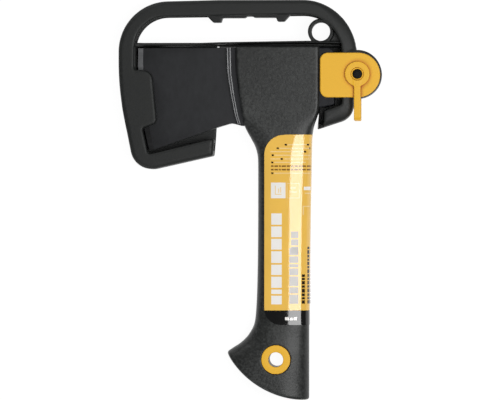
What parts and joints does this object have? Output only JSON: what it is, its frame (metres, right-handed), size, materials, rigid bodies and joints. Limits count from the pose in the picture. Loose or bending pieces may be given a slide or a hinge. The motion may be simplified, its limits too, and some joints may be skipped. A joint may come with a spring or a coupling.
{
  "type": "camping hatchet in a carry sheath",
  "caption": "Compact hatchet with a moulded handle, held in a looped carry sheath by a swinging lock plate; lanyard hole and hanging eye.",
  "frame": {"origin": "under the middle of the bounding box, on the plane the sheath's back lies on", "axes": "+X from the cutting edge to the poll, +Y from the foot of the handle to the head and carry loop, +Z out of the front face of the sheath"},
  "size_m": [0.1724, 0.262, 0.028],
  "materials": {
    "head_steel": "dark low-friction coating over ground steel",
    "handle_nylon": "fine moulded grain",
    "orange_plastic": "satin moulded",
    "label_print": null,
    "sheath_plastic": "satin moulded",
    "pin_plastic": "satin moulded"
  },
  "bodies": {
    "hatchet_and_sheath": {"axe_head": "head_steel", "handle": "handle_nylon", "trim_ring_front": "orange_plastic", "trim_ring_rear": "orange_plastic", "label_sleeve": "label_print", "sheath_frame": "sheath_plastic", "lock_pivot_pin": "pin_plastic"},
    "lock": {"lock_plate": "orange_plastic", "lock_bail": "orange_plastic"}
  },
  "joints": [
    {"name": "lock_swing", "type": "hinge", "parent": "hatchet_and_sheath", "child": "lock", "pos_m": [0.0704, 0.0823, 0.013], "axis": [0, 0, 1], "range_deg": [0, 170]}
  ]
}
